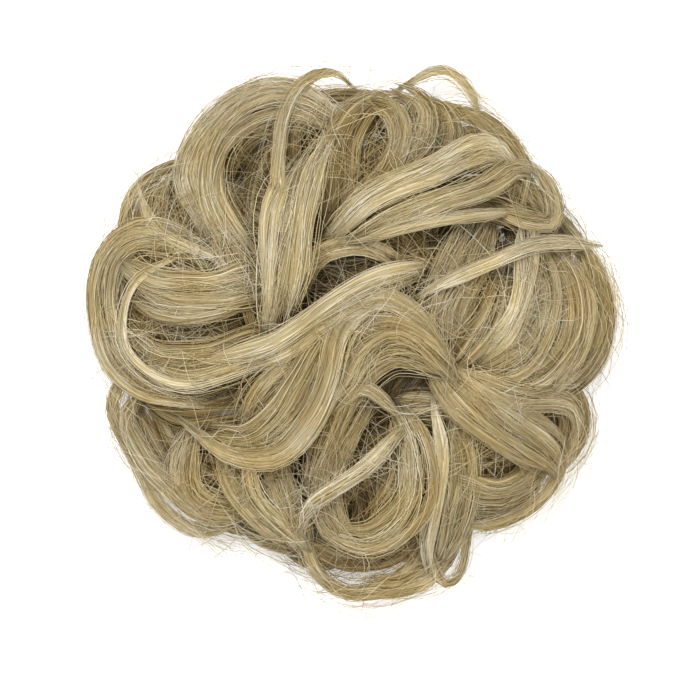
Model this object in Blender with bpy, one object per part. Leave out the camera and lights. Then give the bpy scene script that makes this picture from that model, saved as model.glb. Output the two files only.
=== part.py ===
"""A top knot hairpiece: a ring of elastic, a wefted ring of hair around it, and curled locks laid over both.

The piece lies on its back with the front of the bun facing up (+Z) and the top of the bun towards +Y.
Lengths are in metres. Each lock is a flattened band that follows a route seen from the front. The locks
are laid one after another, from the lowest to the topmost, and each one rests on what lies under it.
"""

import math

import bpy
import numpy as np

# The bun
BUN_RADIUS = 0.075
CROWN_HEIGHT = 0.047
CENTRE_HEIGHT = 0.040
RIM_HEIGHT = 0.018
RIM_UNDERSIDE = 0.011
CROWN_AT = 0.50
FLAT_UNDERSIDE_SHARE = 0.8

# The elastic band and the wefted ring around it
RING_TO_RIGHT = 0.0050
RING_DOWN = 0.0040
RING_CENTRE = (RING_TO_RIGHT, -RING_DOWN)
PONYTAIL_HOLE_RADIUS = 0.0175
ELASTIC_WIDTH = 0.0060
ELASTIC_HEIGHT = 0.0080
WEFT_WIDTH = 0.0085
WEFT_HEIGHT = 0.0170
PONYTAIL_ROOM = 0.0200
RING_SIDES = 48
RING_ROUNDING = 0.15
RING_SHOULDER = math.radians(25)

# The hair
GAP = 0.0003
LOCK_THICKNESS = 0.0040
TIP_THICKNESS = 0.0011
TIP_WIDTH_SHARE = 0.40
TIP_SHARE = 0.22
THICKNESS_TO_WIDTH = 0.5
TILT_SHARE = 0.6
UNDER_SETBACK = 0.0190
UNDER_TIP_SHARE = 0.25
FAN_COUNT = 7
FAN_WIDTH = 0.0400
FAN_THICKNESS = 0.0030
FAN_REACH = BUN_RADIUS - UNDER_SETBACK
FAN_SWIRL = math.radians(38)
FAN_TIP_RISE = 0.0050
ROLL_COUNT = 7
ROLL_WIDTH = 0.0380
ROLL_THICKNESS = 0.0036
ROLL_REACH = BUN_RADIUS - UNDER_SETBACK
ROLL_SWIRL = math.radians(-34)
ROLL_RISE = 0.0100
ROLL_TIP_HEIGHT = 0.0080
ROLL_LAP = 0.7
SECTION_STEP = 0.0066
FEWEST_SECTIONS = 6
MOST_SECTIONS = 18

# The map of what has been laid so far
CELL = 0.00025
MAP_SHARE = 1.2
MAP_HALF = MAP_SHARE * BUN_RADIUS
MAP_MARGIN = 0.00015
SAMPLES_PER_CELL = 1.4
SLOPE_STEP = 0.0005
STEEPEST_FALL = -0.9
STEEPEST_RISE = 0.3

# Locks from the lowest to the topmost. Width, lift and route are in per cent: width and route of
# BUN_RADIUS, lift of the bun's own height at that place. A route is (across, up) from the bun's middle.
LOCKS = [
    # name, width, lift, route
    ("centre_under_upper", 26, 60, ((-42, 22), (-15, 27), (12, 22), (38, 3))),
    ("centre_under_lower", 24, 55, ((-32, -36), (-8, -41), (18, -42), (44, -34))),
    ("under_left", 11, 50, ((-84, -21), (-65, -29), (-44, -26), (-25, -18))),
    ("under_bottom", 12, 55, ((-19, -76), (-4, -84), (13, -82), (26, -70))),
    ("shoulder_outer", 8, 60, (
        (-52, 60), (-63, 62), (-73, 57), (-80, 50), (-82, 40), (-80, 31), (-70, 25), (-56, 22),
    )),
    ("lower_left_rim", 8, 60, (
        (-80, -10), (-87, -17), (-89, -26), (-86, -36), (-81, -45), (-77, -54), (-73, -60),
        (-67, -66), (-59, -72), (-51, -72), (-43, -68), (-36, -65),
    )),
    ("lower_left_fall", 12, 75, ((-61, -39), (-62, -53), (-55, -63), (-45, -66))),
    ("lower_mid_fall", 12, 75, ((-49, -42), (-38, -60), (-23, -74))),
    ("bottom_rim", 6, 50, (
        (-20, -70), (-17, -83), (-10, -92), (-1, -97), (9, -98), (20, -95), (29, -90), (34, -80),
    )),
    ("bottom_right_inner", 12, 70, ((37, -33), (39, -59), (32, -84))),
    ("lower_right_rim", 5, 45, (
        (85, -36), (80, -47), (76, -55), (70, -60), (62, -65), (51, -69), (41, -69),
    )),
    ("right_rim", 8, 55, ((80, 41), (90, 28), (95, 12), (95, -3), (89, -14), (77, -23), (64, -28))),
    ("right_second", 8, 68, ((83, 36), (89, 20), (90, 4), (84, -12), (71, -21), (55, -22))),
    ("crown_rim", 8, 50, ((16, 84), (32, 86), (46, 83), (57, 75), (65, 64), (63, 50))),
    ("crown_left_outer", 11, 72, (
        (-5, 80), (-15, 89), (-28, 92), (-41, 88), (-51, 80), (-59, 71), (-62, 58), (-54, 40),
    )),
    ("crown_left_inner", 13, 85, (
        (-9, 80), (-23, 86), (-39, 82), (-50, 69), (-52, 52), (-44, 35), (-33, 21),
    )),
    ("crown_right_back", 11, 70, ((-6, 40), (-4, 56), (-3, 72), (3, 84), (14, 90), (25, 89))),
    ("crown_right_second", 11, 74, ((15, 93), (26, 85), (26, 72), (17, 61), (6, 53))),
    ("crown_right_first", 11, 80, ((5, 87), (14, 84), (17, 73), (12, 62), (4, 52), (-5, 42))),
    ("left_curl_outer", 13, 72, (
        (-51, 26), (-66, 35), (-80, 37), (-90, 29), (-94, 17), (-94, 4), (-88, -9), (-75, -20),
        (-54, -25),
    )),
    ("left_curl_upper", 12, 85, ((-86, 28), (-70, 19), (-52, 18), (-34, 23))),
    ("left_curl_lower", 11, 82, ((-85, 4), (-73, -6), (-57, -7), (-42, -3), (-27, 2))),
    ("right_net_outer", 12, 80, ((73, 33), (81, 17), (80, -1), (69, -15), (52, -19))),
    ("right_fall_wide", 17, 85, ((47, 42), (40, 25), (34, 8), (35, -10))),
    ("right_fall_second", 12, 90, ((57, 29), (50, 8), (37, -9))),
    ("pinch_right_upper", 8, 82, (
        (33, -10), (47, -16), (60, -21), (74, -22), (83, -25), (87, -33), (85, -42), (79, -50),
    )),
    ("pinch_right_lower", 12, 85, ((32, -14), (41, -24), (52, -33), (63, -41), (72, -47), (77, -53))),
    ("bottom_curl_left", 11, 80, ((7, -21), (-2, -33), (-8, -47), (-10, -61), (-3, -74), (12, -73))),
    ("bottom_curl_right", 12, 85, ((17, -29), (23, -42), (24, -57), (17, -69), (5, -76), (-9, -72))),
    ("centre_arch_inner", 11, 92, ((34, -13), (16, -5), (-1, -15), (-10, -33), (-15, -52))),
    ("centre_arch_middle", 12, 97, ((35, -11), (26, -1), (13, 3), (1, -5), (-5, -17), (-12, -29))),
    ("centre_swoop_inner", 12, 95, ((-9, -2), (-22, -10), (-34, -21), (-39, -35))),
    ("centre_swoop_middle", 14, 100, (
        (-2, 5), (-11, -6), (-18, -19), (-26, -31), (-38, -39), (-53, -37),
    )),
    ("centre_swoop_edge", 8, 105, (
        (35, -10), (26, 5), (10, 12), (-3, 1), (-7, -17), (-14, -33), (-27, -45), (-45, -43),
        (-60, -33),
    )),
    ("right_sweep_return", 7, 80, ((62, 67), (67, 61), (72, 54), (75, 47), (73, 41), (63, 42), (49, 47))),
    ("right_sweep_lower", 12, 97, (
        (5, 38), (13, 43), (23, 47), (33, 50), (43, 52), (52, 56), (61, 62), (68, 60),
    )),
    ("right_sweep_upper", 12, 100, ((-6, 39), (4, 49), (16, 56), (29, 61), (42, 67), (53, 69), (61, 61))),
    ("centre_fall_left", 8, 100, ((-19, 66), (-28, 47), (-30, 26), (-31, 4))),
    ("centre_fall_right", 12, 100, ((-8, 77), (-18, 45), (-25, 12))),
    ("top_tendril", 6, 90, ((1, 92), (-8, 99), (-19, 94), (-25, 83), (-28, 70), (-29, 58), (-28, 45))),
    ("top_right_tendril", 4, 60, ((15, 91), (23, 94), (30, 97), (36, 97), (41, 93), (44, 87), (46, 76))),
    ("right_cross", 5, 100, ((93, 34), (70, 35), (48, 27), (28, 16))),
    ("centre_cross", 6, 108, ((32, 27), (9, 20), (-12, 9), (-32, -4), (-55, -10))),
    ("bottom_diagonal", 6, 100, ((19, -35), (8, -46), (-5, -55), (-17, -65), (-21, -80))),
]

# Colours of the synthetic hair, in linear RGB
GOLDEN = (0.42, 0.31, 0.15)
PALE = (0.60, 0.50, 0.32)
ASH = (0.33, 0.27, 0.16)
ELASTIC_COLOUR = (0.30, 0.23, 0.13)


def spline(points, count):
    """Even points along a smooth curve that passes through all the given ones."""
    knots = np.array(points, float)
    knots = np.vstack([2 * knots[0] - knots[1], knots, 2 * knots[-1] - knots[-2]])
    t = np.linspace(0, 1, 24, endpoint=False)[:, None]
    pieces = []
    for a, b, c, d in zip(knots[:-3], knots[1:-2], knots[2:-1], knots[3:]):
        pieces.append(
            0.5
            * (
                2 * b
                + (c - a) * t
                + (2 * a - 5 * b + 4 * c - d) * t**2
                + (3 * b - 3 * c + d - a) * t**3
            )
        )
    dense = np.vstack(pieces + [knots[-2:-1]])
    along = np.r_[0, np.cumsum(np.linalg.norm(np.diff(dense, axis=0), axis=1))]
    if count is None:
        count = int(np.clip(round(along[-1] / SECTION_STEP) + 1, FEWEST_SECTIONS, MOST_SECTIONS))
    even = np.linspace(0, along[-1], count)
    return np.stack([np.interp(even, along, dense[:, axis]) for axis in (0, 1)], axis=1)


def bun_height(radius):
    """The height of the bun's upper surface at a distance from its middle: a dip, a crown, a falling rim."""
    share = np.clip(np.asarray(radius) / BUN_RADIUS, 0, 1.1)
    inside = CENTRE_HEIGHT + (CROWN_HEIGHT - CENTRE_HEIGHT) * np.sin(
        np.clip(share / CROWN_AT, 0, 1) * math.pi / 2
    ) ** 2
    fall = np.clip((share - CROWN_AT) / (1 - CROWN_AT), 0, 1.2)
    outside = RIM_HEIGHT + (CROWN_HEIGHT - RIM_HEIGHT) * np.cos(np.clip(fall, 0, 1) * math.pi / 2) ** 1.3
    return np.where(share < CROWN_AT, inside, outside)


def bun_slope(radius):
    """How fast that surface falls outwards, kept under forty-five degrees."""
    slope = (bun_height(radius + SLOPE_STEP) - bun_height(radius - SLOPE_STEP)) / (2 * SLOPE_STEP)
    return np.clip(slope, STEEPEST_FALL, STEEPEST_RISE)


def underside(radius):
    """The bun's underside: flat under the fans, then curving up to its rim."""
    flat = FLAT_UNDERSIDE_SHARE * FAN_REACH
    return RIM_UNDERSIDE * np.clip((radius - flat) / (BUN_RADIUS - flat), 0, 1.2) ** 1.5


class HairMap:
    """The height of the topmost thing in each small square, seen from the front."""

    def __init__(self):
        side = round(2 * MAP_HALF / CELL)
        self.x, self.y = np.meshgrid(*[(np.arange(side) + 0.5) * CELL - MAP_HALF] * 2, indexing="ij")
        self.top = underside(np.hypot(self.x, self.y))

    def cells(self, x, y):
        last = len(self.top) - 2
        column = np.clip(((x + MAP_HALF) / CELL).astype(int), 1, last)
        row = np.clip(((y + MAP_HALF) / CELL).astype(int), 1, last)
        return column, row

    def lay(self, x, y, z):
        column, row = self.cells(x, y)
        np.maximum.at(self.top, (column, row), z)

    def at(self, x, y):
        column, row = self.cells(x, y)
        return self.top[column, row]


# A lock's section: across as a share of the half width, and thickness there as a share of the whole.
SECTION = [
    # across, thickness share
    (-1.0, 0.0),
    (-0.5, 1.0),
    (0.5, 1.0),
    (1.0, 0.0),
]


def between_sections(values, parts):
    """Values between each section and the next, as the flat faces of the band have them."""
    t = (np.arange(parts) + 0.5) / parts
    shape = (1, parts) + (1,) * (values.ndim - 1)
    low = values[:-1, None]
    high = values[1:, None]
    return low + (high - low) * t.reshape(shape)


def settle(need, target, arch):
    """Heights that clear what lies beneath at every section, arch up to the target and bend gently."""
    height = need + np.maximum(target - need, 0) * arch
    for _ in range(12):
        softer = height.copy()
        softer[1:-1] = 0.25 * height[:-2] + 0.5 * height[1:-1] + 0.25 * height[2:]
        height = np.maximum(need, softer)
    return height


ACROSS = np.array([row[0] for row in SECTION])
THICKNESS_SHARE = np.array([row[1] for row in SECTION])


def lay_band(hair_map, x, y, thicknesses, tilt, target, arch):
    """Lays a band whose sections' corners lie at x and y, and returns its upper and lower corners."""
    half = THICKNESS_SHARE * thicknesses[:, None] / 2
    edge = np.stack([x, y], axis=2)
    length = np.linalg.norm(np.diff(edge, axis=0), axis=2).max()
    width = np.linalg.norm(edge[:, -1] - edge[:, 0], axis=1).max()
    parts = math.ceil(SAMPLES_PER_CELL * length / CELL)
    fine = np.linspace(-1, 1, math.ceil(SAMPLES_PER_CELL * width / CELL))
    columns = [np.stack([np.interp(fine, ACROSS, row) for row in grid]) for grid in (x, y, tilt, half)]
    fx, fy, ftilt, fhalf = (between_sections(grid, parts) for grid in columns)
    beneath = hair_map.at(fx, fy) + GAP + MAP_MARGIN + fhalf - ftilt
    clear = beneath.max(axis=(1, 2))
    need = np.maximum(np.r_[clear, -1], np.r_[-1, clear])
    height = settle(need, target, arch)

    middle_fine = between_sections(height, parts)[..., None]
    spare = (middle_fine - beneath).min()
    height = height - spare
    hair_map.lay(fx, fy, middle_fine - spare + ftilt + fhalf)
    upper = np.stack([x, y, height[:, None] + tilt + half], axis=2)
    lower = np.stack([x, y, height[:, None] + tilt - half], axis=2)
    return upper, lower


def band_mesh(name, upper, lower):
    """A closed six-sided band through the sections, with flat ends."""
    rings = np.concatenate([upper, lower[:, 2:0:-1]], axis=1)
    sections, sides = rings.shape[:2]
    faces = []
    for i in range(sections - 1):
        for j in range(sides):
            k = (j + 1) % sides
            a = i * sides
            b = a + sides
            faces.append((a + j, b + j, b + k, a + k))
    faces.append(tuple(range(sides)))
    faces.append(tuple((sections - 1) * sides + j for j in reversed(range(sides))))
    mesh = bpy.data.meshes.new(name)
    mesh.from_pydata([tuple(p) for p in rings.reshape(-1, 3)], [], faces)
    mesh.update()
    return mesh


def turned_ring(name, inner, outer, height, round_off, flat):
    """A ring about its own upright axis: a section with rounded shoulders and a flat underside."""
    middle = (inner + outer) / 2
    half = (outer - inner) / 2
    profile = [(inner + round_off, 0), (outer - round_off, 0)]
    for turn in np.linspace(-flat, math.pi + flat, 7):
        profile.append((middle + half * math.cos(turn), height * (0.5 + 0.5 * math.sin(turn))))
    points = []
    for k in range(RING_SIDES):
        angle = 2 * math.pi * k / RING_SIDES
        for radius, z in profile:
            points.append((radius * math.cos(angle), radius * math.sin(angle), z))
    count = len(profile)
    faces = []
    for k in range(RING_SIDES):
        after = (k + 1) % RING_SIDES
        for j in range(count):
            follow = (j + 1) % count
            faces.append((k * count + j, after * count + j, after * count + follow, k * count + follow))
    mesh = bpy.data.meshes.new(name)
    mesh.from_pydata(points, [], faces)
    mesh.update()
    return mesh


def material(name, colour, roughness):
    made = bpy.data.materials.new(name)
    made.use_nodes = True
    surface = made.node_tree.nodes["Principled BSDF"]
    surface.inputs["Base Color"].default_value = (*colour, 1)
    surface.inputs["Roughness"].default_value = roughness
    surface.inputs["Metallic"].default_value = 0
    return made


def add_piece(name, mesh, colour, roughness=0.45):
    mesh.materials.append(material(name, colour, roughness))
    mesh.shade_smooth()
    mesh.set_sharp_from_angle(angle=math.radians(50))
    piece = bpy.data.objects.new(name, mesh)
    bpy.context.scene.collection.objects.link(piece)
    return piece


def tapered(count, full, tip, tip_share):
    """A size that is full along the middle and eases down to its tips."""
    s = np.linspace(0, 1, count)
    ease = np.sin(np.clip(np.minimum(s, 1 - s) / tip_share, 0, 1) * math.pi / 2)
    return tip + (full - tip) * ease


def lay_rings(hair_map):
    """The elastic band with the wefted ring around it, and the room that a ponytail needs inside them."""
    elastic_outer = PONYTAIL_HOLE_RADIUS + ELASTIC_WIDTH
    weft_inner = elastic_outer + GAP
    weft_outer = weft_inner + WEFT_WIDTH
    rings = [
        # name, inner, outer, height, colour
        ("elastic_band", PONYTAIL_HOLE_RADIUS, elastic_outer, ELASTIC_HEIGHT, ELASTIC_COLOUR),
        ("weft_ring", weft_inner, weft_outer, WEFT_HEIGHT, ASH),
    ]
    pieces = []
    for name, inner, outer, height, colour in rings:
        mesh = turned_ring(name, inner, outer, height, RING_ROUNDING * (outer - inner), RING_SHOULDER)
        piece = add_piece(name, mesh, colour, 0.7)
        piece.location = (RING_CENTRE[0], RING_CENTRE[1], 0)
        pieces.append(piece)
    radius = np.hypot(hair_map.x - RING_CENTRE[0], hair_map.y - RING_CENTRE[1])
    off_middle = (radius - (weft_inner + weft_outer) / 2) / (WEFT_WIDTH / 2)
    shoulder = WEFT_HEIGHT * (0.5 + 0.5 * np.sqrt(np.clip(1 - off_middle**2, 0, 1)))
    hair_map.top = np.where(np.abs(off_middle) < 1, shoulder, hair_map.top)
    hair_map.top[radius < elastic_outer] = PONYTAIL_ROOM
    return pieces, weft_outer


def swirl(count, turn, start, reach, first_angle, widths):
    """An under lock's corners: arcs that turn as they leave the ring and end about the bun's middle."""
    s = np.linspace(0, 1, count)
    radius = start + (reach - start) * s
    angle = first_angle + turn * s**1.3
    turned = angle[:, None] + ACROSS * (widths / radius)[:, None] / 2
    shift = 1 - s[:, None]
    x = RING_CENTRE[0] * shift + radius[:, None] * np.cos(turned)
    y = RING_CENTRE[1] * shift + radius[:, None] * np.sin(turned)
    return x, y


def lay_fans(hair_map, start):
    """The flat under layer: short wide locks that leave the wefted ring and swirl outwards like petals."""
    pieces = []
    s = np.linspace(0, 1, 10)
    widths = FAN_WIDTH * np.interp(s, [0, 0.5, 0.85, 1], [0.60, 1.0, 0.80, 0.40])
    thicknesses = tapered(len(s), FAN_THICKNESS, TIP_THICKNESS, UNDER_TIP_SHARE)
    target = thicknesses / 2 + FAN_TIP_RISE * s**2
    clear = start + GAP + MAP_MARGIN
    near = clear / math.cos(widths[0] / clear / 4)
    for k in range(FAN_COUNT):
        x, y = swirl(len(s), FAN_SWIRL, near, FAN_REACH, 2 * math.pi * k / FAN_COUNT, widths)
        upper, lower = lay_band(hair_map, x, y, thicknesses, 0 * x, target, np.ones(len(s)))
        name = f"under_fan_{k + 1:02d}"
        pieces.append(add_piece(name, band_mesh(name, upper, lower), ASH))
    return pieces


def lay_rolls(hair_map, start):
    """The body of the bun: wide locks that arch from the top of the wefted ring over the fans."""
    pieces = []
    s = np.linspace(0, 1, 12)
    near = start - ROLL_LAP * WEFT_WIDTH
    widths = ROLL_WIDTH * np.interp(s, [0, 0.5, 0.85, 1], [0.55, 1.0, 0.80, 0.40])
    thicknesses = tapered(len(s), ROLL_THICKNESS, TIP_THICKNESS, UNDER_TIP_SHARE)
    straight = WEFT_HEIGHT + (ROLL_TIP_HEIGHT - WEFT_HEIGHT) * s**1.6
    target = straight + ROLL_RISE * np.sin(math.pi * s) ** 0.8
    arch = np.interp(s, [0, 0.8, 1], [1, 1, 0])
    for k in range(ROLL_COUNT):
        first = 2 * math.pi * (k + 0.5) / ROLL_COUNT
        x, y = swirl(len(s), ROLL_SWIRL, near, ROLL_REACH, first, widths)
        upper, lower = lay_band(hair_map, x, y, thicknesses, 0 * x, target, arch)
        name = f"under_roll_{k + 1:02d}"
        pieces.append(add_piece(name, band_mesh(name, upper, lower), ASH))
    return pieces


def lay_locks(hair_map):
    """The curled locks of the front, laid in the order of the table."""
    pieces = []
    for name, width, lift, route in LOCKS:
        path = spline(np.array(route) / 100 * BUN_RADIUS, None)
        count = len(path)
        full = width / 100 * BUN_RADIUS
        thickness = min(LOCK_THICKNESS, THICKNESS_TO_WIDTH * full)
        widths = tapered(count, full, TIP_WIDTH_SHARE * full, TIP_SHARE)
        thicknesses = tapered(count, thickness, TIP_THICKNESS, TIP_SHARE)
        tangent = np.gradient(path, axis=0)
        tangent /= np.linalg.norm(tangent, axis=1)[:, None]
        spread = ACROSS * widths[:, None] / 2
        x = path[:, :1] - tangent[:, 1:] * spread
        y = path[:, 1:] + tangent[:, :1] * spread
        radius = np.hypot(path[:, 0], path[:, 1])
        tilt = TILT_SHARE * bun_slope(radius)[:, None] * (np.hypot(x, y) - radius[:, None])
        target = lift / 100 * bun_height(radius)
        arch = np.sin(np.linspace(0, 1, count) * math.pi) ** 0.6
        upper, lower = lay_band(hair_map, x, y, thicknesses, tilt, target, arch)
        colour = tuple(g + (p - g) * (lift - 50) / 60 for g, p in zip(GOLDEN, PALE))
        pieces.append(add_piece(name, band_mesh(name, upper, lower), colour))
    return pieces


def stand_on_origin(pieces):
    """Moves everything together, so that the middle of the whole underside is at the origin."""
    bpy.context.view_layer.update()
    corners = np.array([tuple(p.matrix_world @ v.co) for p in pieces for v in p.data.vertices])
    low = corners.min(axis=0)
    high = corners.max(axis=0)
    bun = bpy.data.objects.new("bun", None)
    bpy.context.scene.collection.objects.link(bun)
    for piece in pieces:
        piece.parent = bun
    bun.location = (-(low[0] + high[0]) / 2, -(low[1] + high[1]) / 2, -low[2])


def main():
    for old in list(bpy.data.objects):
        bpy.data.objects.remove(old, do_unlink=True)
    hair_map = HairMap()
    rings, weft_outer = lay_rings(hair_map)
    fans = lay_fans(hair_map, weft_outer)
    rolls = lay_rolls(hair_map, weft_outer)
    locks = lay_locks(hair_map)
    stand_on_origin(rings + fans + rolls + locks)


main()
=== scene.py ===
"""The looks of a top knot hairpiece: thousands of synthetic strands swept along its locks.

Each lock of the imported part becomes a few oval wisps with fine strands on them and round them. The
routes are the part's, with finer locks between them, laid from the lowest to the topmost on a map of
heights. Curls fill the inside, and single hairs cross the hollows and fly round the outline. Lengths are
in metres. The bun's front faces up (+Z) and the top of the bun is towards +Y.
"""

import math

import bpy
import numpy as np
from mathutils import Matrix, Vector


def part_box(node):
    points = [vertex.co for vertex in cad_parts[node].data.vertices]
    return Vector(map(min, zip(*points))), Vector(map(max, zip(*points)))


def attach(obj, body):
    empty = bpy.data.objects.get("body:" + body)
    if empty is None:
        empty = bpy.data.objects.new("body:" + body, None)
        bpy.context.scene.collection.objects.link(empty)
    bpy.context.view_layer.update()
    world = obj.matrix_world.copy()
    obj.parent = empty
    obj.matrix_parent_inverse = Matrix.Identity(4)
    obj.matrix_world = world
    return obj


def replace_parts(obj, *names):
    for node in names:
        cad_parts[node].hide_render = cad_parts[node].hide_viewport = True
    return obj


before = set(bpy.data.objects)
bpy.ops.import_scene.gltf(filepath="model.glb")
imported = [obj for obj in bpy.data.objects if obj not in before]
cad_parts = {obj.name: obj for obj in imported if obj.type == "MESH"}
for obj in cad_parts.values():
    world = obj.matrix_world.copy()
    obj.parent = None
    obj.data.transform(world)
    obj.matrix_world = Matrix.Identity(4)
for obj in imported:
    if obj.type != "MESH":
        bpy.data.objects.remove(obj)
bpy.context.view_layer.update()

# Sizes that the part has too
BUN_RADIUS = 0.075
CROWN_HEIGHT = 0.047
CENTRE_HEIGHT = 0.040
RIM_HEIGHT = 0.018
RIM_UNDERSIDE = 0.011
CROWN_AT = 0.50
RING_CENTRE = np.array((0.005, -0.004))
PONYTAIL_HOLE_RADIUS = 0.0175
ELASTIC_WIDTH = 0.0060
WEFT_WIDTH = 0.0085
WEFT_HEIGHT = 0.0170
PONYTAIL_ROOM = 0.0200
UNDER_SETBACK = 0.0190
FAN_COUNT = 7
FAN_WIDTH = 0.0400
FAN_REACH = BUN_RADIUS - UNDER_SETBACK
FAN_SWIRL = math.radians(38)
FAN_TIP_RISE = 0.0050
ROLL_COUNT = 7
ROLL_WIDTH = 0.0380
ROLL_REACH = BUN_RADIUS - UNDER_SETBACK
ROLL_SWIRL = math.radians(-34)
ROLL_RISE = 0.0100
ROLL_TIP_HEIGHT = 0.0080

# Where the bun's middle lies in the part's frame, read from the elastic band
ELASTIC_LOW, ELASTIC_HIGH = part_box("elastic_band")
MIDDLE = (np.array(ELASTIC_LOW[:2]) + np.array(ELASTIC_HIGH[:2])) / 2 - RING_CENTRE

# The photograph's framing: the hair is 150 mm across there
FRAME_PIXELS = 700
HAIR_PIXELS = 537
PIXEL = 2 * BUN_RADIUS / HAIR_PIXELS
BUN_MIDDLE_PIXEL = np.array((353, 336))
CAMERA_DISTANCE = 2.0
SENSOR_MM = 36.0
FOCUS_HEIGHT = 0.030

# Curves, and the map of heights
CURVE_SAMPLES = 24
ROUGH_SAMPLES = 40
WAVE_SHARES = (0.55, 0.30, 0.15)
NEARLY_UP = np.array((0.05, 0.03, 1.0))
FALL_POWER = 1.3
SLOPE_RANGE = (-0.9, 0.3)
FLAT_UNDERSIDE_SHARE = 0.8
UNDERSIDE_POWER = 1.5
UNDERSIDE_FARTHEST = 1.2
MAP_HALF = 0.100
CELL = 0.0005

# A lock's own form
WIDER = 1.12
LOCK_THICKNESS = 0.0040
THICKEST_SHARE = 0.6
LAYER_SHARE = 0.55
STRAND_STEP = 0.0042
STRAND_TURN = math.radians(14)
STEPS_RANGE = (9, 26)
TIP_LENGTH = 0.0060
TIPS_WITHIN = 0.84
RIM_TIP_SHARE = 0.15
END_SIZE_SHARE = 0.40
TAPER_SHARE = 0.28
TILT_SHARE = 0.6
ARCH_POWER = 0.6
SETTLE_ROUNDS = 20
SETTLE_DEPTH = 0.0004
END_DIVE = 0.0055
END_SHARE = 0.14

# Wisps and strands
FIBRE_RADIUS = 0.000095
RADIUS_RANGE = (0.7, 1.25)
FIBRE_TAPER_SHARE = 0.10
FIBRE_TIP_SHARE = 0.3
WISP_WIDTH = 0.0025
MOST_WISPS = 9
WISP_SIDES = 6
STRAND_SIDES = 3
STRAND_SPACING = 0.000089
STRANDS_RANGE = (12, 260)
UNDERNEATH_SHARE = 0.14
LOOSE_SHARE = 0.28
CLOSE_SIZE = 1.3
STRAY_SHARE = 0.20
FARTHEST_STRAY = 0.0042
FLYAWAY_SHARE = 0.06
CROSSING_SHARE = 0.26

# Tones, as shares of the way from the darkest shade to the palest
# A wisp's body is darker than its strands: painted shade in the gaps between the strands.
BODY_PAINTED_SHADE = 0.14
BODY_SPREAD = 0.07
TONE_LIFT = 0.04
TONE_SPREAD = 0.12
TONE_DRIFT = 0.05
# Darker strands: partly golden lowlights of the fibre and partly painted shade in the thin gaps between
# strands.
LOWLIGHT_AND_GAP_SHADE_SHARE = 0.20
LOWLIGHT_AND_GAP_SHADE_DROP = 0.21
HIGHLIGHT_SHARE = 0.14
HIGHLIGHT_RISE = 0.18
PALEST_STRAND = 0.90

# The fibre's streaks and patches, and the elastic's ribs
STREAK_WIDTH = 0.00028
STREAK_LENGTH = 0.0900
STREAK_CONTRAST = 1.7
TUBE_OFFSET = 7.3
PART_OFFSET = 31.7
PATCH_SIZE = 0.0120
PATCH_CONTRAST = 0.30
GOLDEN_PATCH_SIZE = 0.0200
GOLDEN_RANGE = (0.42, 0.62)
RIB_SPACING = 0.0011
ROW_SPACING = 0.0009

# Locks of the back and curls of the inside. Tones are in per cent, as in LOCKS; their low tone is painted
# shade on the hair that lies inside, under the front locks.
UNDER_PAINTED_SHADE_TONE = 20
UNDER_DENSITY = 0.22
UNDER_WIDTH_SHARE = 0.85
UNDER_THICKNESS = 0.0030
UNDER_ARCH_POWER = 0.15
FAN_LIFT = 0.0018
ROLL_OVERLAP_SHARE = 0.7
HIDDEN_TONE = 45
HIDDEN_DENSITY = 0.5
NEST_CURLS = 46
NEST_HEIGHT_SHARE = 0.25
NEST_NEAR = 0.026
NEST_FAR = 0.052
NEST_REACH = 0.0580
NEST_BENDS = (0.011, 0.020)
NEST_ARCS = (1.6, 3.2)
NEST_WIDTHS = (0.009, 0.014)
NEST_THICKNESS = 0.0022
NEST_OVAL = 0.8
NEST_DENSITY = 0.13
GOLDEN_TURN = 0.618034
GOLDEN_REST = 0.381966
WEFT_STRANDS = 300
WEFT_STRAND_STEPS = 14
WEFT_TRACKS = 10
TRACK_STEPS = 61
TRACK_RADIUS = 0.0024
TRACK_OVERLAP = 0.02
RING_ROOM = 0.0003

# Single hairs
HAIR_STEPS = 11
HAIR_RISE = 0.0014
HAIR_DIP = 0.002
HAIR_LENGTHS = (0.010, 0.034)
HOLLOW_HAIR_RADIUS = 0.000070
HAIR_BRIDGE = 3
DARK_HOLE = (0.0140, -0.0125)
DARK_HOLE_RADIUS = 0.0060
DARK_HOLE_DEPTH = 0.0120
LOWEST_HAIR = 0.001
FRONT_HAIRS = 330
RIM_HAIRS = 520
RIM_HAIR_RADIUS = 0.000055
RIM_HAIR_LENGTHS = (0.012, 0.036)
RIM_HAIR_HEIGHTS = (0.012, 0.026)
RIM_SEARCH = (0.060, 0.084)

# The paper and the lamps
FLOOR_HALF = 12.0
FLOOR_GAP = 0.0002
LAMP_AIM = (0, 0, 0.02)

# The random draws
SEED = 24
FAN_SEED = SEED + 650
ROLL_SEED = SEED + 700
NEST_SEED = SEED + 700
WEFT_SEED = SEED + 900
HOLLOW_SEED = SEED + 1000
RIM_SEED = SEED + 1200

# The fibre's shades, from the darkest, for lowlights and for painted shade in the deep hole and the gaps
# between strands, to the palest blonde, and the tint of its golden patches
FIBRE_SHADES = [(0.0, "4a3b1f"), (0.2, "7d6b42"), (0.47, "a3926a"), (0.74, "c0b38e"), (1.0, "e6e0cd")]
GOLDEN_TINT = "fff7e2"

# What each point of a mesh carries for the fibre's material, with its kind and the name of its field
POINT_VALUES = {"tone": ("FLOAT", "value"), "lie": ("FLOAT_VECTOR", "vector"), "core": ("FLOAT", "value")}
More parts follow.
